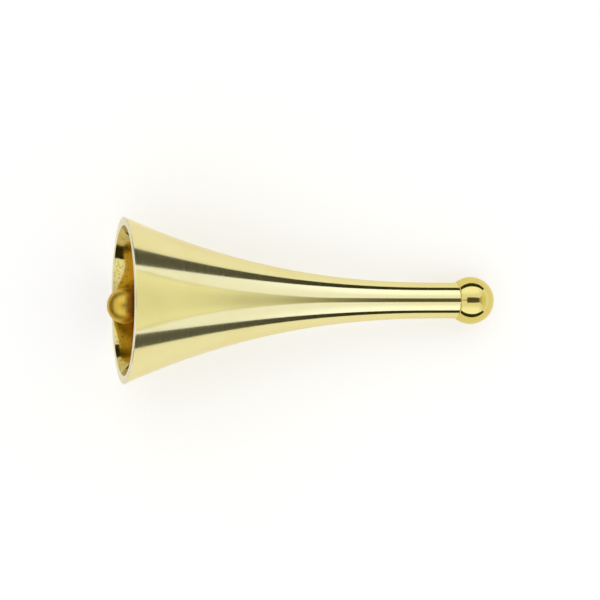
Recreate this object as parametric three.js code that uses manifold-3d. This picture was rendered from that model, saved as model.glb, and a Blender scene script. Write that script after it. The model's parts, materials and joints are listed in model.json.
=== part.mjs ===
// A brass hand bell shaped like a slender horn, lying on its side on a table.
// The bell and its neck are one turned piece with a ball knob on the end. A tie rod through the neck pulls
// the knob and a plug in the crown together. The clapper hangs from a swivel eye under that plug.
// Millimetres, +Z up. The origin is under the middle of the bounding box, on the table.
//
// Every piece is first made in the bell's own frame: +Y runs along the bell's axis from the mouth to the
// knob, y = 0 is the mouth's plane, and -Z is the side that the bell lies on.

import * as THREE from "three";
import { mergeVertices } from "three/addons/utils/BufferGeometryUtils.js";
import Module from "manifold-3d";

const wasm = await Module();
wasm.setup();

// Driving dimensions.
const MOUTH_RADIUS = 25.8;
const LIP_WALL = 2.6; // wall at the lip, measured across the axis
const WALL = 1.9; // wall past the thickened lip
const LIP_DEPTH = 10; // how far in the lip's extra thickness fades out
const NECK_RADIUS = 5.75;
const NECK_END = 107.4; // where the neck stops and the knob starts
const FLARE_LENGTH = 101; // from the mouth to where the neck turns straight
const FLARE_POWER = 2.2;
const KNOB_RADIUS = 7.6;
const KNOB_CENTRE = 112.4;
const CAVITY_DEPTH = 58;
const EDGE_BREAK = 0.25; // small chamfer on turned edges
const FIT_GAP = 0.1; // clearance between pieces that are screwed or seated together
const RUNNING_GAP = 0.2; // clearance between pieces that turn or slide on each other

// Crown plug and its seat in the neck.
const PLUG_RADIUS = 4.5;
const PLUG_TOP = 70;
const FLANGE_RADIUS = 5.7;
const FLANGE_HEIGHT = 1.6;
const CROWN_WASHER_HEIGHT = 0.6;
const CHAMBER_RADIUS = 3.2;
const CHAMBER_TOP = 62;

// Tie rod, 4 mm thread.
const ROD_THREAD_RADIUS = 2;
const TIE_ROD_START = 64.4;
const TIE_ROD_END = 113.4;
const NECK_BORE_RADIUS = 2.3;

// Swivel.
const SHANK_RADIUS = 1.2;
const SHANK_TOP = 61.3;
const NUT_SIDES = 6;
const NUT_ACROSS_CORNERS = 5.2;
const NUT_HEIGHT = 1.6;
const THRUST_WASHER_HEIGHT = 0.5;
const BUSH_HEIGHT = 2.6;
const LINK_RADIUS = 2.5; // both loops, to the middle of the wire
const WIRE_RADIUS = 0.9;
const EYE_CENTRE = 52;

// Clapper.
const BALL_RADIUS = 5.7;
const CLAPPER_LENGTH = 49.3; // from the pivot to the centre of the ball
const CLAPPER_ROD_RADIUS = 1.2;
const ROD_IN_BALL = 3.8;
const CLAPPER_GAP = 0.12; // between the ball and the wall that it lies on
const RESTING_SWIVEL = (4.3 * Math.PI) / 180; // how far round from the lowest line the clapper lies

// Facets.
const BELL_SIDES = 48;
const SMALL_SIDES = 24;
const FLARE_STEPS = 15;
const CAVITY_STEPS = 9;
const LIP_STEPS = 3;
const BALL_STEPS = 11;

const brass = (color, roughness) => new THREE.MeshStandardMaterial({ color, roughness, metalness: 1 });
const POLISHED_BRASS = brass(0xe3cd80, 0.12);
const SATIN_BRASS = brass(0xc9a95a, 0.3);
const STEEL = new THREE.MeshStandardMaterial({ color: 0xb8b8b8, roughness: 0.3, metalness: 1 });
const LEATHER = new THREE.MeshStandardMaterial({ color: 0x5a3a22, roughness: 0.8, metalness: 0 });

// Outer radius of the bell and neck at a distance y from the mouth.
function outerRadius(y) {
  const flare = Math.max(0, 1 - y / FLARE_LENGTH) ** FLARE_POWER;
  return NECK_RADIUS + (MOUTH_RADIUS - NECK_RADIUS) * flare;
}

// Radius of the cavity. The wall thickens smoothly towards the lip.
function innerRadius(y) {
  const lip = Math.max(0, 1 - y / LIP_DEPTH) ** 2;
  return outerRadius(y) - WALL - (LIP_WALL - WALL) * lip;
}

// Evenly spaced numbers from a to b, both included.
const steps = (a, b, count) => Array.from({ length: count + 1 }, (_, i) => a + ((b - a) * i) / count);

// Points of a circular arc in a turned profile, as [radius, y], by angle up from the mouth side of the axis.
const arc = (radius, centreY, from, to, count) =>
  steps(from, to, count).map((t) => [radius * Math.sin(t), centreY - radius * Math.cos(t)]);

// A turned solid. The profile is a list of [radius, y], with the material on its left. A flat facet,
// not a corner, faces the table.
function turned(profile, sides) {
  const points = profile.map(([radius, y]) => new THREE.Vector2(radius, y));
  return new THREE.LatheGeometry(points, sides, Math.PI / sides, 2 * Math.PI);
}

// A closed profile of rings, such as a washer or a shell: the first point is repeated at the end.
const ring = (profile, sides) => turned([...profile, profile[0]], sides);

function toManifold(geometry) {
  const bare = geometry.clone();
  bare.deleteAttribute("normal");
  bare.deleteAttribute("uv");
  const merged = mergeVertices(bare, 1e-4);
  return new wasm.Manifold(
    new wasm.Mesh({
      numProp: 3,
      vertProperties: merged.attributes.position.array,
      triVerts: new Uint32Array(merged.index.array),
    }),
  );
}

function fromManifold(manifold) {
  const mesh = manifold.getMesh();
  return new THREE.BufferGeometry()
    .setAttribute("position", new THREE.BufferAttribute(mesh.vertProperties, 3))
    .setIndex(new THREE.BufferAttribute(mesh.triVerts, 1));
}

// Joins overlapping closed geometries into one solid.
function joined(...geometries) {
  return fromManifold(geometries.map(toManifold).reduce((whole, next) => whole.add(next)));
}

function named(name, geometry, material) {
  const mesh = new THREE.Mesh(geometry, material);
  mesh.name = name;
  return mesh;
}

// Bell and neck in one turned piece, open at the mouth and bored through the neck.
function bellBody() {
  const seatRadius = PLUG_RADIUS + FIT_GAP;
  const outside = steps(EDGE_BREAK, FLARE_LENGTH, FLARE_STEPS).map((y) => [outerRadius(y), y]);
  const insideY = [
    ...steps(CAVITY_DEPTH, LIP_DEPTH, CAVITY_STEPS),
    ...steps(LIP_DEPTH, EDGE_BREAK, LIP_STEPS).slice(1),
  ];
  const inside = insideY.map((y) => [innerRadius(y), y]);
  const profile = [
    [innerRadius(0) + EDGE_BREAK, 0],
    [outerRadius(0) - EDGE_BREAK, 0],
    ...outside,
    [NECK_RADIUS, NECK_END - EDGE_BREAK],
    [NECK_RADIUS - EDGE_BREAK, NECK_END],
    [NECK_BORE_RADIUS, NECK_END],
    [NECK_BORE_RADIUS, PLUG_TOP + FIT_GAP],
    [seatRadius, PLUG_TOP + FIT_GAP],
    [seatRadius, CAVITY_DEPTH],
    ...inside,
  ];
  return ring(profile, BELL_SIDES);
}

// Ball with a flat seat for the neck and a blind tapped hole.
function ballKnob() {
  const seatY = NECK_END + FIT_GAP;
  const seatAngle = Math.acos((KNOB_CENTRE - seatY) / KNOB_RADIUS);
  const holeRadius = ROD_THREAD_RADIUS + FIT_GAP;
  const holeEnd = TIE_ROD_END + RUNNING_GAP;
  const profile = [
    [0, holeEnd],
    [holeRadius, holeEnd],
    [holeRadius, seatY],
    ...arc(KNOB_RADIUS, KNOB_CENTRE, seatAngle, Math.PI, BALL_STEPS),
  ];
  return turned(profile, BELL_SIDES);
}

// Threaded rod that pulls the knob and the crown plug together.
function tieRod() {
  const tip = ROD_THREAD_RADIUS - EDGE_BREAK;
  const profile = [
    [0, TIE_ROD_START],
    [tip, TIE_ROD_START],
    [ROD_THREAD_RADIUS, TIE_ROD_START + EDGE_BREAK],
    [ROD_THREAD_RADIUS, TIE_ROD_END - EDGE_BREAK],
    [tip, TIE_ROD_END],
    [0, TIE_ROD_END],
  ];
  return turned(profile, SMALL_SIDES);
}

const flangeTop = CAVITY_DEPTH - CROWN_WASHER_HEIGHT - FIT_GAP;
const flangeBottom = flangeTop - FLANGE_HEIGHT;

// Flanged plug: a chamber for the swivel's nut below, and a tapped hole for the tie rod above.
function crownPlug() {
  const tappedRadius = ROD_THREAD_RADIUS + FIT_GAP;
  const tappedEnd = TIE_ROD_START - RUNNING_GAP;
  const lower = [
    [0, CHAMBER_TOP],
    [CHAMBER_RADIUS, CHAMBER_TOP],
    [CHAMBER_RADIUS, flangeBottom],
    [FLANGE_RADIUS - EDGE_BREAK, flangeBottom],
    [FLANGE_RADIUS, flangeBottom + EDGE_BREAK],
    [FLANGE_RADIUS, flangeTop],
    [PLUG_RADIUS, flangeTop],
    [PLUG_RADIUS, PLUG_TOP],
  ];
  const upper = [
    [tappedRadius, PLUG_TOP],
    [tappedRadius, tappedEnd],
    [0, tappedEnd],
  ];
  return turned([...lower, ...upper], SMALL_SIDES);
}

// Flat washer or bush, from its lower face at y.
function washer(innerR, outerR, y, height) {
  const profile = [
    [innerR, y],
    [outerR, y],
    [outerR, y + height],
    [innerR, y + height],
  ];
  return ring(profile, SMALL_SIDES);
}

// Leather washer between the plug's flange and the crown.
function crownWasher() {
  const gap = FIT_GAP / 2;
  return washer(PLUG_RADIUS + FIT_GAP, FLANGE_RADIUS, flangeTop + gap, CROWN_WASHER_HEIGHT - gap);
}

const shankBore = SHANK_RADIUS + RUNNING_GAP;
const bushBottom = flangeBottom + FIT_GAP;
const thrustWasherBottom = bushBottom + BUSH_HEIGHT + FIT_GAP;
const nutBottom = thrustWasherBottom + THRUST_WASHER_HEIGHT + FIT_GAP;

// Bush screwed into the plug's chamber. It carries the swivel.
const swivelBush = () => washer(shankBore, CHAMBER_RADIUS - FIT_GAP, bushBottom, BUSH_HEIGHT);

// Washer that the swivel's nut turns on.
const thrustWasher = () =>
  washer(shankBore, CHAMBER_RADIUS - RUNNING_GAP, thrustWasherBottom, THRUST_WASHER_HEIGHT);

// Hexagonal nut that keeps the swivel's shank in the bush.
function swivelNut() {
  const hexagon = new THREE.Path().absarc(0, 0, NUT_ACROSS_CORNERS / 2, 0, 2 * Math.PI);
  const outline = new THREE.Shape(hexagon.getPoints(NUT_SIDES / 2).slice(0, NUT_SIDES));
  outline.holes.push(new THREE.Path().absarc(0, 0, SHANK_RADIUS + FIT_GAP, 0, 2 * Math.PI));
  const extrusion = { depth: NUT_HEIGHT, bevelEnabled: false, curveSegments: SMALL_SIDES / 2 };
  const nut = new THREE.ExtrudeGeometry(outline, extrusion);
  return nut.rotateX(-Math.PI / 2).translate(0, nutBottom, 0);
}

// A closed wire loop in the XY plane.
const loop = () => new THREE.TorusGeometry(LINK_RADIUS, WIRE_RADIUS, 12, SMALL_SIDES);

// Eye with a threaded shank, free to turn in the bush.
function swivelEye() {
  const shank = turned(
    [
      [0, EYE_CENTRE + LINK_RADIUS],
      [SHANK_RADIUS, EYE_CENTRE + LINK_RADIUS],
      [SHANK_RADIUS, SHANK_TOP - EDGE_BREAK],
      [SHANK_RADIUS - EDGE_BREAK, SHANK_TOP],
      [0, SHANK_TOP],
    ],
    SMALL_SIDES,
  );
  return joined(loop().translate(0, EYE_CENTRE, 0), shank);
}

// The clapper's own frame: the pivot, in the middle of the eye's wire, is its origin, and the ball is at -Y.
const loopCentre = 2 * WIRE_RADIUS + RUNNING_GAP / 2 - LINK_RADIUS;

// Wire loop round the eye, and a straight rod down into the ball.
function clapperRod() {
  const top = loopCentre - LINK_RADIUS;
  const end = -CLAPPER_LENGTH + BALL_RADIUS - ROD_IN_BALL;
  const rod = turned(
    [
      [0, end],
      [CLAPPER_ROD_RADIUS - EDGE_BREAK, end],
      [CLAPPER_ROD_RADIUS, end + EDGE_BREAK],
      [CLAPPER_ROD_RADIUS, top - CLAPPER_ROD_RADIUS],
      [WIRE_RADIUS, top],
      [0, top],
    ],
    SMALL_SIDES,
  );
  const link = loop().rotateY(Math.PI / 2).translate(0, loopCentre, 0);
  return joined(link, rod);
}

// Ball with a blind hole for the rod.
function clapperBall() {
  const holeRadius = CLAPPER_ROD_RADIUS + FIT_GAP;
  const holeEnd = -CLAPPER_LENGTH + BALL_RADIUS - ROD_IN_BALL - RUNNING_GAP;
  const mouthAngle = Math.PI - Math.asin(holeRadius / BALL_RADIUS);
  const outside = arc(BALL_RADIUS, -CLAPPER_LENGTH, 0, mouthAngle, BALL_STEPS);
  const hole = [
    [holeRadius, holeEnd],
    [0, holeEnd],
  ];
  return turned([...outside, ...hole], 2 * SMALL_SIDES);
}

// Gap between the cavity's wall and the ball when the clapper swings by this angle off the axis.
function gapToWall(angle) {
  const ballY = EYE_CENTRE - LINK_RADIUS - CLAPPER_LENGTH * Math.cos(angle);
  const ballOffset = CLAPPER_LENGTH * Math.sin(angle);
  const reach = steps(0, 2 * BALL_RADIUS, 200).map((y) =>
    Math.hypot(y - ballY, innerRadius(y) - ballOffset),
  );
  return Math.min(...reach) - BALL_RADIUS;
}

// The swing at which the ball lies on the wall, by halving the interval.
function restSwing() {
  let [low, high] = [0, Math.PI / 4];
  for (let i = 0; i < 40; i++) {
    const middle = (low + high) / 2;
    if (gapToWall(middle) > CLAPPER_GAP) low = middle;
    else high = middle;
  }
  return low;
}

function clapper() {
  const group = new THREE.Group();
  group.add(
    named("clapper_rod", clapperRod(), SATIN_BRASS),
    named("clapper_ball", clapperBall(), POLISHED_BRASS),
  );
  group.position.y = EYE_CENTRE - LINK_RADIUS;
  group.rotation.x = restSwing();
  return group;
}

// The pieces that turn in the bush, with the clapper that hangs from them.
function swivel() {
  const group = new THREE.Group();
  group.add(
    named("thrust_washer", thrustWasher(), STEEL),
    named("swivel_nut", swivelNut(), STEEL),
    named("swivel_eye", swivelEye(), SATIN_BRASS),
    clapper(),
  );
  group.rotation.y = -RESTING_SWIVEL;
  return group;
}

function handBell() {
  const bell = new THREE.Group();
  bell.add(
    named("bell_body", bellBody(), POLISHED_BRASS),
    named("ball_knob", ballKnob(), POLISHED_BRASS),
    named("tie_rod", tieRod(), STEEL),
    named("crown_plug", crownPlug(), SATIN_BRASS),
    named("crown_washer", crownWasher(), LEATHER),
    named("swivel_bush", swivelBush(), SATIN_BRASS),
    swivel(),
  );
  return bell;
}

// The tilt of the axis when the bell lies on its rim and its knob: both touch the table with a facet.
function lyingTilt() {
  const facet = Math.cos(Math.PI / BELL_SIDES);
  const [rim, knob] = [outerRadius(EDGE_BREAK) * facet, KNOB_RADIUS * facet];
  const span = KNOB_CENTRE - EDGE_BREAK;
  return Math.acos(knob / Math.hypot(rim, span)) - Math.atan2(span, rim);
}

// Lays the bell down with its mouth towards -X, and sets it over the origin.
function laidDown(bell) {
  bell.rotation.z = -Math.PI / 2;
  const tilted = new THREE.Group().add(bell);
  tilted.rotation.y = lyingTilt();
  const placed = new THREE.Group().add(tilted);
  const box = new THREE.Box3().setFromObject(placed, true);
  const centre = box.getCenter(new THREE.Vector3());
  tilted.position.set(-centre.x, -centre.y, -box.min.z);
  return placed;
}

const handBellOnTable = laidDown(handBell());

export default handBellOnTable;
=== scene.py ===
"""A small brass hand bell, turned in the shape of a straight horn, lying on its side in a pale studio.

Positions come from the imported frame, in metres. A turned piece is made from a profile in millimetres
round the +Z axis of a frame, and its mesh is written where that frame lies. The bell's frame has its
origin in the middle of the mouth and +Z towards the knob. The clapper's frame has its origin at the
clapper's pivot and the clapper's ball on -Z.
"""

import json
import math

import bpy
from mathutils import Matrix, Vector

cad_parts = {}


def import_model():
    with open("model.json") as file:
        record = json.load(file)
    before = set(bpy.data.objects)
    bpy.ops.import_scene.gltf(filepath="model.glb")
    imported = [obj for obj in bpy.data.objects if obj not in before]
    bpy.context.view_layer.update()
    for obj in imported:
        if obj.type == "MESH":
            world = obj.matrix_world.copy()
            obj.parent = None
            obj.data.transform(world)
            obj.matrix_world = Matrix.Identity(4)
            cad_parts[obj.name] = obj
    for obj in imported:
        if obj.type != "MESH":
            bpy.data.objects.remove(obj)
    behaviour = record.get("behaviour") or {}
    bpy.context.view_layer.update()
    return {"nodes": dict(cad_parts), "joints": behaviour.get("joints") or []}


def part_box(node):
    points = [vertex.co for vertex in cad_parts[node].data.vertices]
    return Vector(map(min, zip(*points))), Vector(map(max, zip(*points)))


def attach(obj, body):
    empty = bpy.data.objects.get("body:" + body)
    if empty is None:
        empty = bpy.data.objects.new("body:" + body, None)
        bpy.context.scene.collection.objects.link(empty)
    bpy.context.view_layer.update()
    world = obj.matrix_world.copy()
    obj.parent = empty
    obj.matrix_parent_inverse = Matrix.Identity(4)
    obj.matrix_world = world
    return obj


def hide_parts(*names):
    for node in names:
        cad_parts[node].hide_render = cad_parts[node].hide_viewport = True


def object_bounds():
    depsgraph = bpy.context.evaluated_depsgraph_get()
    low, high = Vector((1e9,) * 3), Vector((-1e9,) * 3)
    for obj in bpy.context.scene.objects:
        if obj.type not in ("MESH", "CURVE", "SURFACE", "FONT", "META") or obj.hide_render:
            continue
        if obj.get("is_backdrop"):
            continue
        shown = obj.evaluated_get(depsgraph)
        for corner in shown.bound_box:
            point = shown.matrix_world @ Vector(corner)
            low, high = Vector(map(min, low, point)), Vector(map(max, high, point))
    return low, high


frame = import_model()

MM = 0.001

# Bell, in millimetres. These repeat the CAD model's driving dimensions.
MOUTH_RADIUS = 25.8
LIP_WALL = 2.6
WALL = 1.9
LIP_DEPTH = 10
NECK_RADIUS = 5.75
NECK_END = 107.4
FLARE_LENGTH = 101
FLARE_POWER = 2.2
KNOB_RADIUS = 7.6
KNOB_CENTRE = 112.4
CAVITY_DEPTH = 58
EDGE_BREAK = 0.25
LIP_ROUND = 0.13
LIP_STEP = 0.5  # from the lip to the first point of the flare
CROWN_STEP = 1  # from the crown to the first point of the cavity
FLARE_STEPS = 100
CAVITY_STEPS = 57
PIVOT_DEPTH = 49.5  # from the mouth to the clapper's pivot

# Crown, swivel and clapper, in millimetres.
PLUG_RADIUS = 4.5
PLUG_TOP = 70
FLANGE_RADIUS = 5.7
FLANGE_BOTTOM = 55.7
FLANGE_TOP = 57.3
CHAMBER_RADIUS = 3.2
NECK_BORE_RADIUS = 2.3
SHANK_RADIUS = 1.2
SHANK_TOP = 61.3
LINK_RADIUS = 2.5
WIRE_RADIUS = 0.9
EYE_CENTRE = 52
BALL_RADIUS = 5.7
CLAPPER_LENGTH = 49.3
CLAPPER_ROD_RADIUS = 1.2
CLAPPER_LOOP_CENTRE = -0.6  # from the pivot, along the clapper's axis
ROD_IN_BALL = 1.9  # from the ball's centre to the rod's end
ROD_TAPER = 2  # length of the rod's narrowing below its loop, and the radius it starts with
ROD_NARROWING = 0.8  # share of the wire's radius that the rod narrows to
SEAM = 0.03  # between the neck and the knob
TAPPED_RADIUS = 2.1
TAPPED_END = 64.2
KNOB_HOLE = 1.2  # from the knob's centre to the end of its tapped hole
CHAMBER_TOP = 62
BUSH_TOP = 58.4
FIT_GAP = 0.1  # between pieces that are screwed or seated together
RUNNING_GAP = 0.2  # between pieces that turn on each other
WASHER_GAP = 0.02  # above and below the crown washer
BALL_HOLE_GAP = 0.05  # round the rod in the ball
BALL_HOLE_END = 0.2  # from the rod's end to the hole's end

# Finish of the meshes.
SIDES = 144
BALL_SIDES = 96
SMALL_SIDES = 48
LOOP_STEPS = 64
WIRE_SIDES = 24
KNOB_STEPS = 48
BALL_STEPS = 56
RING_STEP = 1.0  # longest step of a profile, in millimetres
WASHER_STEP = 0.5
FILLET_STEPS = 6
FINE_FILLET = 0.1
WASHER_FILLET = 0.15
ROD_FILLET = 0.2
FLANGE_FILLET = 0.3
HOLD = 0.02  # from each end of a fillet to the ring that keeps the face past it flat
TINY = 1e-6  # a radius or distance under this counts as none

# Camera: its tilt towards the mouth, from square above the bell's axis, and its lean to the front.
CAMERA_TILT = math.radians(13.8)
CAMERA_LEAN = math.radians(1.6)
CAMERA_DISTANCE = 0.582
CAMERA_AIM_DEPTH = 56 * MM  # from the mouth, along the bell's axis
CAMERA_AIM_RISE = 0.16 * MM  # towards the top of the picture
SENSOR_WIDTH = 36
LENS = 111

# Colours, in linear light. The first three are the bell's own, its worn one and its neck's.
PALE_BRASS = (0.84, 0.76, 0.37)
WARM_BRASS = (0.82, 0.72, 0.33)
NECK_BRASS = (0.81, 0.72, 0.30)
# Painted sheen: a paler, whiter brass for the satin facing across the lip, standing for how pale brass
# looks at a grazing angle.
SHEEN_FACED_BRASS = (0.83, 0.80, 0.59)
GOLD_BRASS = (0.73, 0.60, 0.17)
DEEP_BRASS = (0.67, 0.53, 0.13)
BALL_BRASS = (0.82, 0.56, 0.08)
BROWN_BRASS = (0.68, 0.44, 0.05)
PALE_BORE = (0.63, 0.52, 0.15)
DEEP_BORE = (0.52, 0.27, 0.02)
TARNISH = (0.24, 0.19, 0.06)
GRAZING_TINT = (1.0, 0.95, 0.82, 1.0)  # brass keeps some of its colour at a grazing angle
LEATHER_DARK = (0.12, 0.055, 0.025)
LEATHER_PALE = (0.3, 0.15, 0.075)
STEEL_DARK = (0.48, 0.48, 0.47)
STEEL_PALE = (0.66, 0.66, 0.65)

# Patterns of the materials. Scales are per metre, and lengths and depths are in metres. A pair of values
# is where a change starts and stops, and a second pair is the result at each.
WANDER_SCALE = 60
WANDER = 0.0004  # how far a turning line wanders along the axis
LINE_CONTRAST = (0.3, 0.7)
LINES_LEFT = 0.35  # strength of the turning lines where they have faded
WEAR_SCALE = 90
WEAR_COLOURING = (0.35, 0.8)
WEAR_SMEARS = (0.45, 0.75)
SMEAR = 0.2  # share of the way to the rough value that the wear adds
NECK_COLOURING = (0.06, 0.11)  # stretch of the axis where the end's colour comes in
FACE_DEPTH = (0.00005, 0.0001)  # stretch of the axis where the satin cut across the lip and its painted sheen end
FACE_ROUGHNESS = 0.3
BORE_LINES = 2200
BORE_LINE_DEPTH = 0.0000003
BORE_WEAR_SCALE = 120
BORE_WEAR = (0.3, 0.8)
BORE_DULLING = (0.002, 0.009)
BORE_CLEARING = (0.012, 0.03, 1.0, 0.3)
BORE_ROUGHENING = (0.003, 0.010, 0.06, 0.26)
BORE_WEAR_ROUGHNESS = 0.08
BORE_WEAR_COLOURING = 0.4
SPECK_SCALE = 1500
SPECK_EDGE = (0.52, 0.62)
SPECK_STRENGTH = 0.75
SPECK_STRENGTH_DEEP = 0.25
LEATHER_SCALE = 2500
LEATHER_DEPTH = 0.00004
LEATHER_ROUGHNESS = (0.2, 0.8, 0.65, 0.9)
STEEL_SCALE = 1800
STEEL_DEPTH = 0.000006
STEEL_ROUGHNESS = (0.2, 0.8, 0.2, 0.42)

# World, table and dark gaps, in metres. Colours are linear light.
SKY_COLOUR = (1.03, 1.07, 1.32)
LAMP_COLOUR = (1.28, 1.38, 1.90)
LAMP_SIDEWAYS = (0.35, 0.7)  # a direction's share of Y where the lamps start and where they are full
LAMP_BESIDE = (0.45, 0.75, 1.0, 0.0)  # the same for X, where they fade out towards the knob's end
BACKDROP_COLOUR = (1.0, 1.0, 0.985)
TABLE_COLOUR = (0.58, 0.55, 0.42)
TABLE_MOTTLE = (0.60, 0.57, 0.44)
TABLE_MOTTLE_SCALE = 15
TABLE_GLOW = 0.47
TABLE_GLOW_SEEN = 0.51
TABLE_HALF_LENGTH = 1.2
TABLE_FRONT = 0.40
TABLE_BACK = 0.27
GAP_HALF_LENGTH = 0.8
GAP_DISTANCE = 0.62
GAP_LOW = -0.4
GAP_HIGH = 0.23
GAP_COLOUR = (0.034, 0.033, 0.010)
END_COLOUR = (0.42, 0.39, 0.30)
STAGE_ROUGHNESS = 0.9

# The flag round the mouth, in metres.
FLAG_SIDES = 24
FLAG_REACH = math.radians(70)
FLAG_LENGTH = 0.029
FLAG_HALF_WIDTH = 0.045
FLAG_HEIGHT = 0.016
FLAG_SIDE_LOW = 0.008
FLAG_SIDE_HIGH = 0.026

# The boom. OVERHEAD is its distance from the bell in metres, and the other lengths are shares of that.
OVERHEAD = 0.95
BOOM_START = -0.3
BOOM_BEND = 1.0
BOOM_END = 5.0
BOOM_HALF = 0.24
BOOM_END_HALF = 3.3
BOOM_OFFSET = 0.04
BOOM_GLOW = (0.68, 1.3, 0.10, 0.62)
BOOM_FAR_GLOW = (1.15, 1.9, 0.0, 0.25)
BOOM_SIDE_GLOW = (0.2, 1.0, 1.0, 1.12)  # a factor, from the middle to the side edges
HEM_SHARE = (0.9, 0.95)  # of the half width, where the darker hem along a side edge begins
HEM_REACH = (1.05, 1.4)
HEM_SHADE = 0.8
RAIL_START = -2.0
RAIL_HALF = 0.05
RAIL_END = 0.05
RAIL_SHADE = 0.35
BOOM_COLOUR = (1.0, 0.99, 0.80)

GLOSSY_BOUNCES = 12


def joint(name):
    """The frame's joint of that name."""
    return next(j for j in frame["joints"] if j["name"] == name)


def frame_matrix(origin, along, across):
    """A frame with its origin there, +Z along one direction and +X as near as it can be to another."""
    z = Vector(along).normalized()
    y = z.cross(Vector(across)).normalized()
    x = y.cross(z)
    rotation = Matrix((x, y, z)).transposed().to_4x4()
    return Matrix.Translation(origin) @ rotation


UP = Vector((0, 0, 1))
PIVOT = Vector(joint("clapper_swivel")["pos_m"])
BELL_AXIS = Vector(joint("clapper_swivel")["axis"]).normalized()
SWING_AXIS = Vector(joint("clapper_swing")["axis"]).normalized()
MOUTH_CENTRE = PIVOT - BELL_AXIS * PIVOT_DEPTH * MM
BALL_CENTRE = (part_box("clapper_ball")[0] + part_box("clapper_ball")[1]) / 2

BELL = frame_matrix(MOUTH_CENTRE, BELL_AXIS, UP)
SWIVEL = frame_matrix(MOUTH_CENTRE, BELL_AXIS, SWING_AXIS)
CLAPPER = frame_matrix(PIVOT, PIVOT - BALL_CENTRE, SWING_AXIS)


# ---------------------------------------------------------------------------------------------- profiles


def flare(y):
    """Outer radius of the bell and neck at a distance y from the mouth."""
    share = max(0, 1 - y / FLARE_LENGTH) ** FLARE_POWER
    return NECK_RADIUS + (MOUTH_RADIUS - NECK_RADIUS) * share


def cavity(y):
    """Radius of the bell's cavity. The wall thickens smoothly towards the lip."""
    lip = max(0, 1 - y / LIP_DEPTH) ** 2
    return flare(y) - WALL - (LIP_WALL - WALL) * lip


def steps(start, end, count):
    """Evenly spaced numbers from start to end, both included."""
    return [start + (end - start) * i / count for i in range(count + 1)]


def arc(centre, radius, start, end, count):
    """Points of a circular arc in a profile, by angle from straight outwards, turning towards +Z."""
    angles = steps(math.radians(start), math.radians(end), count)
    return [(centre[0] + radius * math.cos(t), centre[1] + radius * math.sin(t)) for t in angles]


def rounded(corner, before, after, radius):
    """A corner of a profile as a fillet between its two neighbours."""
    corner = Vector(corner)
    to_before, to_after = (Vector(p) - corner for p in (before, after))
    to_before.normalize()
    to_after.normalize()
    half = to_before.angle(to_after) / 2
    middle = corner + (to_before + to_after).normalized() * radius / math.sin(half)
    first = corner + to_before * radius / math.tan(half) - middle
    last = corner + to_after * radius / math.tan(half) - middle
    start = math.atan2(first.y, first.x)
    turn = (math.atan2(last.y, last.x) - start + math.pi) % (2 * math.pi) - math.pi
    angles = [start + turn * t for t in steps(0, 1, FILLET_STEPS)]
    made = [(middle.x + radius * math.cos(t), middle.y + radius * math.sin(t)) for t in angles]
    hold_before = Vector(made[0]) + to_before * HOLD
    hold_after = Vector(made[-1]) + to_after * HOLD
    return [tuple(hold_before), *made, tuple(hold_after)]


def outline(points, closed=False):
    """A profile with its fillets. A point is (radius, z), or (radius, z, fillet) for a round corner."""
    made = []
    for i, point in enumerate(points):
        if len(point) == 2:
            made.append(point)
            continue
        before, after = points[i - 1][:2], points[(i + 1) % len(points)][:2]
        made += rounded(point[:2], before, after, point[2])
    return made + made[:1] if closed else made


def refined(profile, longest):
    """The same profile with no step longer than this."""
    made = [profile[0]]
    for a, b in zip(profile, profile[1:]):
        count = max(1, math.ceil(math.dist(a, b) / longest))
        for t in steps(0, 1, count)[1:]:
            made.append((a[0] + (b[0] - a[0]) * t, a[1] + (b[1] - a[1]) * t))
    return made


# ------------------------------------------------------------------------------------------------ meshes


def mesh_piece(name, vertices, faces, uvs, matrix):
    """A smooth mesh object from vertices in a frame's millimetres, with a UV pair per face corner."""
    mesh = bpy.data.meshes.new(name)
    mesh.from_pydata([matrix @ (Vector(v) * MM) for v in vertices], [], faces)
    layer = mesh.uv_layers.new(name="turning")
    corners = [pair for face in uvs for pair in face]
    layer.data.foreach_set("uv", [value for pair in corners for value in pair])
    mesh.shade_smooth()
    mesh.update()
    piece = bpy.data.objects.new(name, mesh)
    bpy.context.scene.collection.objects.link(piece)
    return piece


def turned(name, profile, matrix, sides=SIDES, longest=RING_STEP):
    """A solid of revolution. The profile has the solid on its left, and ends on the axis or on itself."""
    profile = refined(profile, longest)
    closed = math.dist(profile[0], profile[-1]) < TINY
    rings = profile[:-1] if closed else profile
    vertices, starts = [], []
    for radius, z in rings:
        starts.append(len(vertices))
        around = 1 if radius < TINY else sides
        for s in range(around):
            angle = 2 * math.pi * s / sides
            vertices.append((radius * math.cos(angle), radius * math.sin(angle), z))
    faces, uvs = [], []
    for i in range(len(profile) - 1):
        j = (i + 1) % len(rings)
        low, high = starts[i], starts[j]
        v0, v1 = i / len(profile), (i + 1) / len(profile)
        low_pole, high_pole = rings[i][0] < TINY, rings[j][0] < TINY
        for s in range(sides):
            n = (s + 1) % sides
            u0, u1 = s / sides, (s + 1) / sides
            if low_pole:
                faces.append((low, high + n, high + s))
                uvs.append(((u0, v0), (u1, v1), (u0, v1)))
            elif high_pole:
                faces.append((low + s, low + n, high))
                uvs.append(((u0, v0), (u1, v0), (u0, v1)))
            else:
                faces.append((low + s, low + n, high + n, high + s))
                uvs.append(((u0, v0), (u1, v0), (u1, v1), (u0, v1)))
    return mesh_piece(name, vertices, faces, uvs, matrix)


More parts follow.
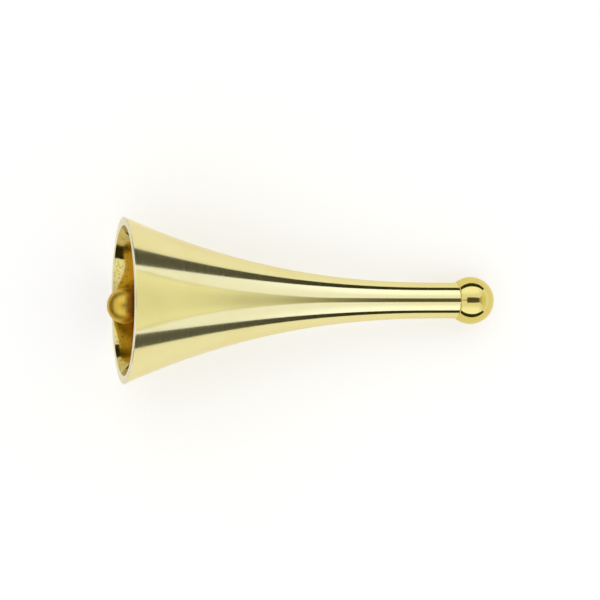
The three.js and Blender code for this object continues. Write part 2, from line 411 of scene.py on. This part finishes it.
def wire_loop(name, centre_z, plane_turn, matrix):
    """A closed loop of wire. Its plane holds the frame's Z axis, and is turned about that axis."""
    vertices, faces, uvs = [], [], []
    c, s = math.cos(plane_turn), math.sin(plane_turn)
    for i in range(LOOP_STEPS):
        a = 2 * math.pi * i / LOOP_STEPS
        for k in range(WIRE_SIDES):
            b = 2 * math.pi * k / WIRE_SIDES
            reach = LINK_RADIUS + WIRE_RADIUS * math.cos(b)
            across, side = reach * math.cos(a), WIRE_RADIUS * math.sin(b)
            z = centre_z + reach * math.sin(a)
            vertices.append((across * c - side * s, across * s + side * c, z))
            here, there = i * WIRE_SIDES, (i + 1) % LOOP_STEPS * WIRE_SIDES
            m = (k + 1) % WIRE_SIDES
            faces.append((here + k, here + m, there + m, there + k))
            u0, u1 = i / LOOP_STEPS, (i + 1) / LOOP_STEPS
            v0, v1 = k / WIRE_SIDES, (k + 1) / WIRE_SIDES
            uvs.append(((u0, v0), (u0, v1), (u1, v1), (u1, v0)))
    return mesh_piece(name, vertices, faces, uvs, matrix)


def united(piece, *others):
    """Joins other solids into a piece with exact booleans, and drops them."""
    for other in others:
        modifier = piece.modifiers.new("join", "BOOLEAN")
        modifier.operation = "UNION"
        modifier.solver = "EXACT"
        modifier.object = other
    bpy.context.view_layer.update()
    evaluated = piece.evaluated_get(bpy.context.evaluated_depsgraph_get())
    mesh = bpy.data.meshes.new_from_object(evaluated)
    piece.modifiers.clear()
    piece.data = mesh
    mesh.shade_smooth()
    for other in others:
        bpy.data.objects.remove(other)
    return piece


# ------------------------------------------------------------------------------------------------ pieces


def bell_body():
    """Bell and neck in one turned piece, with a rounded lip and a bored neck."""
    seat = PLUG_RADIUS + FIT_GAP
    outside = [(flare(y), y) for y in steps(LIP_STEP, FLARE_LENGTH, FLARE_STEPS)]
    inside = [(cavity(y), y) for y in steps(CAVITY_DEPTH - CROWN_STEP, LIP_STEP, CAVITY_STEPS)]
    corners = [
        (cavity(0), 0, LIP_ROUND),
        (MOUTH_RADIUS, 0, LIP_ROUND),
        *outside,
        (NECK_RADIUS, NECK_END, EDGE_BREAK / 2),
        (NECK_BORE_RADIUS, NECK_END),
        (NECK_BORE_RADIUS, PLUG_TOP + FIT_GAP),
        (seat, PLUG_TOP + FIT_GAP),
        (seat, CAVITY_DEPTH),
        (cavity(CAVITY_DEPTH), CAVITY_DEPTH, EDGE_BREAK),
        *inside,
    ]
    return turned("turned_bell", outline(corners, closed=True), BELL)


def ball_knob():
    """Ball with a flat seat for the neck and a blind tapped hole."""
    seat = NECK_END + SEAM
    hole_end = KNOB_CENTRE + KNOB_HOLE
    seat_angle = math.degrees(math.asin((seat - KNOB_CENTRE) / KNOB_RADIUS))
    profile = [(0, hole_end), (TAPPED_RADIUS, hole_end), (TAPPED_RADIUS, seat)]
    profile += arc((0, KNOB_CENTRE), KNOB_RADIUS, seat_angle, 90, KNOB_STEPS)
    profile[-1] = (0, KNOB_CENTRE + KNOB_RADIUS)
    return turned("turned_knob", profile, BELL)


def crown_plug():
    """Flanged plug with a chamber for the swivel's nut below and a tapped hole above."""
    corners = [
        (0, CHAMBER_TOP),
        (CHAMBER_RADIUS, CHAMBER_TOP),
        (CHAMBER_RADIUS, FLANGE_BOTTOM, FINE_FILLET),
        (FLANGE_RADIUS, FLANGE_BOTTOM, FLANGE_FILLET),
        (FLANGE_RADIUS, FLANGE_TOP, FINE_FILLET),
        (PLUG_RADIUS, FLANGE_TOP),
        (PLUG_RADIUS, PLUG_TOP),
        (TAPPED_RADIUS, PLUG_TOP),
        (TAPPED_RADIUS, TAPPED_END),
        (0, TAPPED_END),
    ]
    return turned("turned_plug", outline(corners), BELL, sides=SMALL_SIDES)


def washer(name, inner, outer, low, high):
    """A flat ring with rounded edges, on the bell's axis."""
    places = [(inner, low), (outer, low), (outer, high), (inner, high)]
    corners = [(*place, WASHER_FILLET) for place in places]
    return turned(name, outline(corners, closed=True), BELL, sides=SMALL_SIDES, longest=WASHER_STEP)


def crown_washer():
    """Leather ring between the plug's flange and the crown."""
    low, high = FLANGE_TOP + WASHER_GAP, CAVITY_DEPTH - WASHER_GAP
    return washer("cut_crown_washer", PLUG_RADIUS + FIT_GAP, FLANGE_RADIUS, low, high)


def swivel_bush():
    """Bush in the plug's chamber that the swivel's shank turns in."""
    inner, outer = SHANK_RADIUS + RUNNING_GAP, CHAMBER_RADIUS - FIT_GAP
    return washer("turned_bush", inner, outer, FLANGE_BOTTOM + FIT_GAP, BUSH_TOP)


def swivel_eye():
    """Wire eye on a threaded shank."""
    low = EYE_CENTRE + LINK_RADIUS
    corners = [(0, low), (SHANK_RADIUS, low), (SHANK_RADIUS, SHANK_TOP, ROD_FILLET), (0, SHANK_TOP)]
    shank = turned("eye_shank", outline(corners), SWIVEL, sides=SMALL_SIDES)
    return united(wire_loop("forged_eye", EYE_CENTRE, 0, SWIVEL), shank)


def clapper_rod():
    """Straight rod with a closed loop round the eye's wire."""
    low = ROD_IN_BALL - CLAPPER_LENGTH
    high = CLAPPER_LOOP_CENTRE - LINK_RADIUS
    corners = [
        (0, low),
        (CLAPPER_ROD_RADIUS, low, ROD_FILLET),
        (CLAPPER_ROD_RADIUS, high - ROD_TAPER, ROD_TAPER),
        (WIRE_RADIUS * ROD_NARROWING, high),
        (0, high),
    ]
    rod = turned("clapper_shaft", outline(corners), CLAPPER, sides=SMALL_SIDES)
    return united(wire_loop("forged_clapper_rod", CLAPPER_LOOP_CENTRE, math.pi / 2, CLAPPER), rod)


def clapper_ball():
    """Ball with a blind hole for its rod."""
    hole = CLAPPER_ROD_RADIUS + BALL_HOLE_GAP
    mouth = math.degrees(math.acos(hole / BALL_RADIUS))
    profile = arc((0, -CLAPPER_LENGTH), BALL_RADIUS, -90, mouth, BALL_STEPS)
    profile[0] = (0, -CLAPPER_LENGTH - BALL_RADIUS)
    bottom = ROD_IN_BALL - CLAPPER_LENGTH - BALL_HOLE_END
    profile += [(hole, bottom), (0, bottom)]
    return turned("turned_clapper_ball", profile, CLAPPER, sides=BALL_SIDES)


# --------------------------------------------------------------------------------------------- materials


class Nodes:
    """The node tree of a material or a world, built in short calls."""

    def __init__(self, owner):
        owner.use_nodes = True
        self.owner = owner
        self.tree = owner.node_tree

    def add(self, kind, **settings):
        """A node of that kind, with these properties."""
        made = self.tree.nodes.new(kind)
        for key, value in settings.items():
            setattr(made, key, value)
        return made

    def plug(self, value, socket):
        """Sets an input to a number or colour, or links an output to it."""
        if isinstance(value, bpy.types.NodeSocket):
            self.tree.links.new(value, socket)
        else:
            socket.default_value = value

    def math(self, operation, *values, clamp=False):
        """The result of a Math node."""
        made = self.add("ShaderNodeMath", operation=operation, use_clamp=clamp)
        for value, socket in zip(values, made.inputs):
            self.plug(value, socket)
        return made.outputs[0]

    def ramp(self, value, low, high, low_to=0.0, high_to=1.0, kind="SMOOTHSTEP"):
        """The value mapped from one range to another, smoothly unless the kind says otherwise."""
        made = self.add("ShaderNodeMapRange", interpolation_type=kind)
        for entry, socket in zip((value, low, high, low_to, high_to), made.inputs):
            self.plug(entry, socket)
        return made.outputs[0]

    def noise(self, where, scale, detail=2.0, roughness=0.5, dimensions="3D"):
        """Noise, about 0 to 1. In one dimension it varies along a number."""
        made = self.add("ShaderNodeTexNoise", noise_dimensions=dimensions)
        self.plug(where, made.inputs["W" if dimensions == "1D" else "Vector"])
        made.inputs["Scale"].default_value = scale
        made.inputs["Detail"].default_value = detail
        made.inputs["Roughness"].default_value = roughness
        return made.outputs["Fac"]

    def mix(self, share, first, second):
        """A colour between two colours."""
        made = self.add("ShaderNodeMix", data_type="RGBA")
        self.plug(share, made.inputs["Factor"])
        self.plug((*first, 1) if isinstance(first, tuple) else first, made.inputs["A"])
        self.plug((*second, 1) if isinstance(second, tuple) else second, made.inputs["B"])
        return made.outputs["Result"]

    def bump(self, height, depth):
        """A normal from a height of 0 to 1 that stands for this depth in metres."""
        made = self.add("ShaderNodeBump")
        self.plug(height, made.inputs["Height"])
        made.inputs["Strength"].default_value = 1
        made.inputs["Distance"].default_value = depth
        return made.outputs["Normal"]

    def along(self, matrix):
        """How far the point lies along a frame's Z axis, in metres."""
        axis = matrix.col[2].xyz
        made = self.add("ShaderNodeVectorMath", operation="DOT_PRODUCT")
        self.plug(self.add("ShaderNodeTexCoord").outputs["Object"], made.inputs[0])
        self.plug(axis, made.inputs[1])
        return self.math("SUBTRACT", made.outputs["Value"], matrix.translation.dot(axis))

    def place(self, coordinates="Object"):
        """The point and its three coordinates."""
        point = self.add("ShaderNodeTexCoord").outputs[coordinates]
        apart = self.add("ShaderNodeSeparateXYZ")
        self.plug(point, apart.inputs[0])
        return point, *apart.outputs

    def set(self, shader="Principled BSDF", **inputs):
        """Sets a shader's inputs. An underscore in a name stands for a space."""
        for key, value in inputs.items():
            self.plug(value, self.tree.nodes[shader].inputs[key.replace("_", " ")])


def new_material(name):
    """The nodes of a new material, whose owner is the material."""
    return Nodes(bpy.data.materials.new(name))


def turned_brass(
    name, colours, lines, smooth, rough, depth, haze=(0, 0), fade=(0, 1), faced_with_sheen=False, axis=BELL
):
    """Polished brass with circular turning lines round the Z axis of a frame.

    colours are its own, its worn one and that of the end of the piece. lines is the scale of the lines
    along the axis and depth is how deep they are. The roughness lies between smooth and rough. haze is the
    dull share of the surface, at the start of the piece and at its end. Lines and haze change over the
    stretch of the axis that fade gives. With faced_with_sheen, the piece has a satin facing across its
    start, in a paler, whiter colour that is a painted sheen of brass seen at a grazing angle.
    """
    made = new_material(name)
    point, *_ = made.place()
    along = made.along(axis)
    wander = made.math("MULTIPLY", made.noise(point, WANDER_SCALE, detail=1), WANDER)
    fine = made.noise(made.math("ADD", along, wander), lines, dimensions="1D")
    worn = made.noise(point, WEAR_SCALE, detail=4, roughness=0.6)
    strength = made.ramp(along, *fade, 1.0, LINES_LEFT)
    grain = made.math("MULTIPLY", made.ramp(fine, *LINE_CONTRAST), strength)
    smears = made.math("MULTIPLY", made.ramp(worn, *WEAR_SMEARS), SMEAR)
    own, worn_colour, end_colour = colours
    mottled = made.mix(made.ramp(worn, *WEAR_COLOURING), own, worn_colour)
    colour = made.mix(made.ramp(along, *NECK_COLOURING), mottled, end_colour)
    roughness = made.ramp(made.math("ADD", grain, smears, clamp=True), 0.0, 1.0, smooth, rough)
    if faced_with_sheen:
        # Painted sheen: the facing across the lip gets a paler colour. Its higher roughness is the real
        # satin finish.
        cut_and_sheen = made.ramp(along, *FACE_DEPTH, 1.0, 0.0)
        colour = made.mix(cut_and_sheen, colour, SHEEN_FACED_BRASS)
        roughness = made.math("MAXIMUM", roughness, made.math("MULTIPLY", cut_and_sheen, FACE_ROUGHNESS))
    made.set(
        Base_Color=colour,
        Metallic=made.ramp(along, *fade, 1 - haze[0], 1 - haze[1]),
        Roughness=roughness,
        Specular_Tint=GRAZING_TINT,
        Normal=made.bump(made.math("MULTIPLY", fine, strength), depth),
    )
    return made.owner


def plain_brass(name, axis):
    """Satin brass as turned, for the pieces inside the bell."""
    colours = (WARM_BRASS, GOLD_BRASS, WARM_BRASS)
    return turned_brass(name, colours, lines=3000, smooth=0.2, rough=0.4, depth=0.000002, axis=axis)


def cavity_brass():
    """The bell's inside: bright near the lip, duller past it, clearer again deep in, and speckled."""
    made = new_material("cavity_brass")
    point, *_ = made.place()
    along = made.along(BELL)
    lines = made.noise(along, BORE_LINES, detail=3, roughness=0.6, dimensions="1D")
    worn = made.noise(point, BORE_WEAR_SCALE, detail=5, roughness=0.6)
    specks = made.ramp(made.noise(point, SPECK_SCALE, detail=3, roughness=0.7), *SPECK_EDGE)
    dulled = made.math("MULTIPLY", made.ramp(along, *BORE_DULLING), made.ramp(along, *BORE_CLEARING))
    worn_share = made.ramp(worn, *BORE_WEAR, 0.0, BORE_WEAR_COLOURING)
    deeper = made.math("ADD", worn_share, dulled, clamp=True)
    bored = made.mix(deeper, PALE_BORE, DEEP_BORE)
    strength = made.ramp(deeper, 0.0, 1.0, SPECK_STRENGTH, SPECK_STRENGTH_DEEP)
    worn_roughness = made.ramp(worn, *BORE_WEAR, 0.0, BORE_WEAR_ROUGHNESS)
    made.set(
        Base_Color=made.mix(made.math("MULTIPLY", specks, strength), bored, TARNISH),
        Metallic=1.0,
        Roughness=made.math("ADD", made.ramp(along, *BORE_ROUGHENING), worn_roughness),
        Normal=made.bump(lines, BORE_LINE_DEPTH),
    )
    return made.owner


def leather():
    """Brown leather with a grain."""
    made = new_material("leather")
    point, *_ = made.place()
    grain = made.noise(point, LEATHER_SCALE, detail=5, roughness=0.7)
    made.set(
        Base_Color=made.mix(grain, LEATHER_DARK, LEATHER_PALE),
        Roughness=made.ramp(grain, *LEATHER_ROUGHNESS),
        Normal=made.bump(grain, LEATHER_DEPTH),
    )
    return made.owner


def steel():
    """Bright steel with fine marks."""
    made = new_material("steel")
    point, *_ = made.place()
    marks = made.noise(point, STEEL_SCALE, detail=4, roughness=0.7)
    made.set(
        Base_Color=made.mix(marks, STEEL_DARK, STEEL_PALE),
        Metallic=1.0,
        Roughness=made.ramp(marks, *STEEL_ROUGHNESS),
        Normal=made.bump(marks, STEEL_DEPTH),
    )
    return made.owner


def finish_piece(piece, materials, body, node):
    """Gives a piece its materials and the body it rides on, and hides the node it stands for."""
    piece.data.materials.clear()
    for material in materials:
        piece.data.materials.append(material)
    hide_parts(node)
    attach(piece, body)


def paint_inside(piece):
    """Gives the piece's second material to the faces that look towards the bell's axis, past the lip."""
    for face in piece.data.polygons:
        offset = face.center - MOUTH_CENTRE
        depth = offset.dot(BELL_AXIS)
        outwards = offset - BELL_AXIS * depth
        face.material_index = int(face.normal.dot(outwards) < 0 and depth > EDGE_BREAK * MM)


bell_brass = turned_brass(
    "bell_brass",
    (PALE_BRASS, WARM_BRASS, NECK_BRASS),
    lines=2400,
    smooth=0.06,
    rough=0.14,
    depth=0.0000002,
    haze=(0.085, 0.01),
    fade=(0.02, 0.08),
    faced_with_sheen=True,
)
knob_brass = turned_brass(
    "knob_brass",
    (GOLD_BRASS, DEEP_BRASS, GOLD_BRASS),
    lines=2500,
    smooth=0.05,
    rough=0.12,
    depth=0.0000001,
)
ball_brass = turned_brass(
    "ball_brass",
    (BALL_BRASS, BROWN_BRASS, BALL_BRASS),
    lines=1500,
    smooth=0.34,
    rough=0.44,
    depth=0.0000004,
    axis=CLAPPER,
)
bell_axis_brass = plain_brass("plain_brass", BELL)
clapper_axis_brass = plain_brass("clapper_brass", CLAPPER)
steel_finish = steel()

bell_piece = bell_body()
finish_piece(bell_piece, [bell_brass, cavity_brass()], "bell", "bell_body")
paint_inside(bell_piece)
finish_piece(ball_knob(), [knob_brass], "bell", "ball_knob")
finish_piece(crown_plug(), [bell_axis_brass], "bell", "crown_plug")
finish_piece(crown_washer(), [leather()], "bell", "crown_washer")
finish_piece(swivel_bush(), [bell_axis_brass], "bell", "swivel_bush")
finish_piece(swivel_eye(), [bell_axis_brass], "swivel", "swivel_eye")
finish_piece(clapper_rod(), [clapper_axis_brass], "clapper", "clapper_rod")
finish_piece(clapper_ball(), [ball_brass], "clapper", "clapper_ball")

for node_name in ("tie_rod", "thrust_washer", "swivel_nut"):
    hidden_node = frame["nodes"][node_name]
    hidden_node.data.materials.clear()
    hidden_node.data.materials.append(steel_finish)


# ---------------------------------------------------------------------------------------- camera, studio


def camera():
    """A long lens nearly overhead, tilted towards the mouth and leaning a little to the front."""
    rising, front = BELL.col[0].xyz, BELL.col[1].xyz
    above = rising * math.cos(CAMERA_LEAN) + front * math.sin(CAMERA_LEAN)
    back = above * math.cos(CAMERA_TILT) - BELL_AXIS * math.sin(CAMERA_TILT)
    right = BELL_AXIS * math.cos(CAMERA_TILT) + above * math.sin(CAMERA_TILT)
    data = bpy.data.cameras.new("camera")
    data.sensor_width = SENSOR_WIDTH
    data.lens = LENS
    made = bpy.data.objects.new("camera", data)
    bpy.context.scene.collection.objects.link(made)
    rise = back.cross(right)
    aim = MOUTH_CENTRE + BELL_AXIS * CAMERA_AIM_DEPTH + rise * CAMERA_AIM_RISE
    turn = Matrix((right, rise, back)).transposed().to_4x4()
    made.matrix_world = Matrix.Translation(aim + back * CAMERA_DISTANCE) @ turn
    bpy.context.scene.camera = made
    return made


def stage_piece(name, mesh, matrix, shown=False):
    """Makes a black piece of the stage, which the camera doesn't see unless it is shown.

    It returns the piece and its material's nodes. Its colour is what its emission gives it.
    """
    made = bpy.data.objects.new(name, mesh)
    bpy.context.scene.collection.objects.link(made)
    made.matrix_world = matrix
    made.visible_camera = shown
    paint = new_material(name)
    mesh.materials.append(paint.owner)
    paint.set(Base_Color=(0, 0, 0, 1), Roughness=STAGE_ROUGHNESS, Specular_IOR_Level=0)
    paint.set(Emission_Color=(1, 1, 1, 1))
    made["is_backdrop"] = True
    return made, paint


def card(name, corners, matrix, shown=False):
    """Makes a flat stage card with these corners in its own plane, and returns its material's nodes."""
    mesh = bpy.data.meshes.new(name)
    mesh.from_pydata([(*corner, 0) for corner in corners], [], [tuple(range(len(corners)))])
    return stage_piece(name, mesh, matrix, shown)[1]


def table():
    """A pale table top, as wide as it looks in the bell's sides, and a little brighter to the camera."""
    x, front, back = TABLE_HALF_LENGTH, TABLE_FRONT, TABLE_BACK
    corners = [(-x, -front), (x, -front), (x, back), (-x, back)]
    paint = card("table", corners, Matrix.Translation((0, 0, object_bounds()[0].z)), shown=True)
    point, *_ = paint.place()
    mottle = paint.noise(point, TABLE_MOTTLE_SCALE, detail=3)
    rays = paint.add("ShaderNodeLightPath").outputs["Is Camera Ray"]
    glow = paint.ramp(rays, 0.0, 1.0, TABLE_GLOW, TABLE_GLOW_SEEN, kind="LINEAR")
    paint.set(Base_Color=paint.mix(mottle, TABLE_COLOUR, TABLE_MOTTLE), Emission_Strength=glow)


def dark_gaps():
    """Dark openings of the room past the table's front and back, and a duller wall past the mouth."""
    x, low, high = GAP_HALF_LENGTH, GAP_LOW, GAP_HIGH
    upright = Matrix.Rotation(math.pi / 2, 4, "X")
    for side, name in ((-1, "front_gap"), (1, "back_gap")):
        matrix = Matrix.Translation((0, side * GAP_DISTANCE, 0)) @ upright
        paint = card(name, [(-x, low), (x, low), (x, high), (-x, high)], matrix)
        paint.set(Emission_Color=(*GAP_COLOUR, 1), Emission_Strength=1)
    matrix = Matrix.Translation((-x, 0, 0)) @ Matrix.Rotation(math.pi / 2, 4, "Z") @ upright
    y = GAP_DISTANCE
    paint = card("end_wall", [(-y, low), (y, low), (y, high), (-y, high)], matrix)
    paint.set(Emission_Color=(*END_COLOUR, 1), Emission_Strength=1)


def mouth_flag():
    """A low dark flag that curves round the mouth and rises at its sides. Only metal shows it."""
    vertices, faces = [], []
    for i, angle in enumerate(steps(math.pi - FLAG_REACH, math.pi + FLAG_REACH, FLAG_SIDES)):
        x = BALL_CENTRE.x + FLAG_LENGTH * math.cos(angle)
        y = FLAG_HALF_WIDTH * math.sin(angle)
        towards = -math.cos(angle)
        low = FLAG_SIDE_LOW * (1 - towards)
        high = FLAG_SIDE_HIGH + (FLAG_HEIGHT - FLAG_SIDE_HIGH) * towards
        vertices += [(x, y, low), (x, y, high)]
        if i > 0:
            k = 2 * i
            faces.append((k - 2, k, k + 1, k - 1))
    mesh = bpy.data.meshes.new("mouth_flag")
    mesh.from_pydata(vertices, [], faces)
    made, paint = stage_piece("mouth_flag", mesh, Matrix.Identity(4))
    made.visible_diffuse = False
    made.visible_shadow = False
    paint.set(Emission_Color=(*GAP_COLOUR, 1), Emission_Strength=1)


def boom(camera_object):
    """What hangs over the bell: a thin rail, and a panel, dark round the camera and pale past it."""
    matrix = camera_object.matrix_world @ Matrix.Translation((0, 0, OVERHEAD - CAMERA_DISTANCE))
    shape = [(RAIL_START, -RAIL_HALF), (BOOM_START, -RAIL_HALF), (BOOM_START, -BOOM_HALF)]
    shape += [(BOOM_BEND, -BOOM_HALF), (BOOM_END, -BOOM_END_HALF)]
    shape += [(x, -y) for x, y in reversed(shape)]
    paint = card("boom", [(x * OVERHEAD, (y + BOOM_OFFSET) * OVERHEAD) for x, y in shape], matrix)
    _, reach, side, _ = paint.place()
    reach = paint.math("DIVIDE", reach, OVERHEAD)
    side = paint.math("SUBTRACT", paint.math("DIVIDE", side, OVERHEAD), BOOM_OFFSET)
    width = paint.ramp(reach, BOOM_BEND, BOOM_END, BOOM_HALF, BOOM_END_HALF, kind="LINEAR")
    share = paint.math("DIVIDE", paint.math("ABSOLUTE", side), width)
    rail = paint.ramp(reach, BOOM_START - RAIL_END, BOOM_START, RAIL_SHADE, 0.0)
    near = paint.math("ADD", rail, paint.ramp(reach, *BOOM_GLOW))
    middle = paint.math("ADD", near, paint.ramp(reach, *BOOM_FAR_GLOW))
    panel = paint.math("MULTIPLY", middle, paint.ramp(share, *BOOM_SIDE_GLOW))
    hem = paint.math("MULTIPLY", paint.ramp(share, *HEM_SHARE), paint.ramp(reach, *HEM_REACH))
    glow = paint.math("MULTIPLY", panel, paint.ramp(hem, 0.0, 1.0, 1.0, HEM_SHADE))
    paint.set(Emission_Color=(*BOOM_COLOUR, 1), Emission_Strength=glow)


def world():
    """Cool white surroundings, brighter on both sides. The camera sees a plain near white instead."""
    sky = Nodes(bpy.data.worlds.new("studio"))
    _, x, y, _ = sky.place("Generated")
    sideways = sky.ramp(sky.math("ABSOLUTE", y), *LAMP_SIDEWAYS)
    beside = sky.ramp(x, *LAMP_BESIDE)
    lamps = sky.math("MULTIPLY", sideways, beside)
    rays = sky.add("ShaderNodeLightPath").outputs["Is Camera Ray"]
    colour = sky.mix(rays, sky.mix(lamps, SKY_COLOUR, LAMP_COLOUR), BACKDROP_COLOUR)
    sky.set("Background", Color=colour)
    bpy.context.scene.world = sky.owner


world()
table()
dark_gaps()
mouth_flag()
boom(camera())

view = bpy.context.scene.view_settings
view.view_transform = "Standard"
view.look = "None"
bpy.context.scene.cycles.glossy_bounces = GLOSSY_BOUNCES
